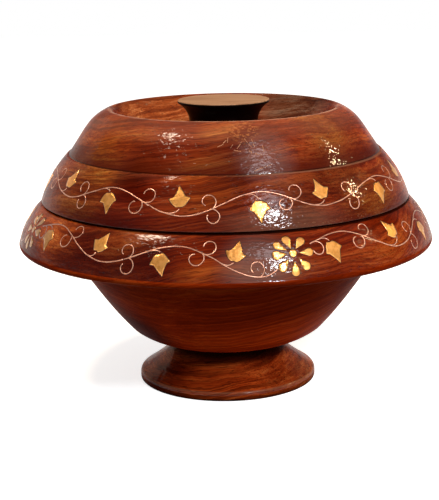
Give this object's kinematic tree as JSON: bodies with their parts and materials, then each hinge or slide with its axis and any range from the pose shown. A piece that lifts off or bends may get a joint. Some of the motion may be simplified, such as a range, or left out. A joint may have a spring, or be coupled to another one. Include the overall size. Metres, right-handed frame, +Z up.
{
  "type": "footed wooden box with lift-off lid",
  "caption": "Round turned wooden storage box on a flared foot, with a wide drooping brim, a lift-off dished lid with a knob, and a metal vine inlay.",
  "frame": {"origin": "on the table, under the middle of the foot", "axes": "+Z up along the turning axis, -Y towards the side that the picture shows, +X to its right"},
  "size_m": [0.25, 0.25, 0.1715],
  "materials": {
    "rosewood": "polished reddish brown rosewood with dark streaks",
    "knob_wood": "paler, less glossy rosewood end of the knob",
    "vine_metal": "copper wire and brass leaves, filed flush and polished",
    "brass": "brass, filed flush and polished",
    "steel": "plain steel wood screw"
  },
  "bodies": {
    "bowl": {"foot": "rosewood", "bowl": "rosewood", "brim_spray_1": "vine_metal", "brim_spray_2": "vine_metal", "brim_spray_3": "vine_metal", "brim_spray_4": "vine_metal", "brim_spray_5": "vine_metal", "brim_spray_6": "vine_metal", "brim_spray_7": "vine_metal", "brim_spray_8": "vine_metal", "flower_1_eye": "brass", "flower_1_petal_1": "brass", "flower_1_petal_2": "brass", "flower_1_petal_3": "brass", "flower_1_petal_4": "brass", "flower_1_petal_5": "brass", "flower_1_petal_6": "brass", "flower_1_petal_7": "brass", "flower_1_petal_8": "brass", "flower_2_eye": "brass", "flower_2_petal_1": "brass", "flower_2_petal_2": "brass", "flower_2_petal_3": "brass", "flower_2_petal_4": "brass", "flower_2_petal_5": "brass", "flower_2_petal_6": "brass", "flower_2_petal_7": "brass", "flower_2_petal_8": "brass", "flower_3_eye": "brass", "flower_3_petal_1": "brass", "flower_3_petal_2": "brass", "flower_3_petal_3": "brass", "flower_3_petal_4": "brass", "flower_3_petal_5": "brass", "flower_3_petal_6": "brass", "flower_3_petal_7": "brass", "flower_3_petal_8": "brass", "flower_4_eye": "brass", "flower_4_petal_1": "brass", "flower_4_petal_2": "brass", "flower_4_petal_3": "brass", "flower_4_petal_4": "brass", "flower_4_petal_5": "brass", "flower_4_petal_6": "brass", "flower_4_petal_7": "brass", "flower_4_petal_8": "brass"},
    "lid": {"lid": "rosewood", "knob": "knob_wood", "knob_screw": "steel", "lid_spray_1": "vine_metal", "lid_spray_2": "vine_metal", "lid_spray_3": "vine_metal", "lid_spray_4": "vine_metal", "lid_spray_5": "vine_metal", "lid_spray_6": "vine_metal", "lid_spray_7": "vine_metal", "lid_spray_8": "vine_metal"}
  },
  "joints": [
    {"name": "lid_lift", "type": "slide", "parent": "bowl", "child": "lid", "axis": [0, 0, 1], "range_m": [0, 0.15]}
  ]
}
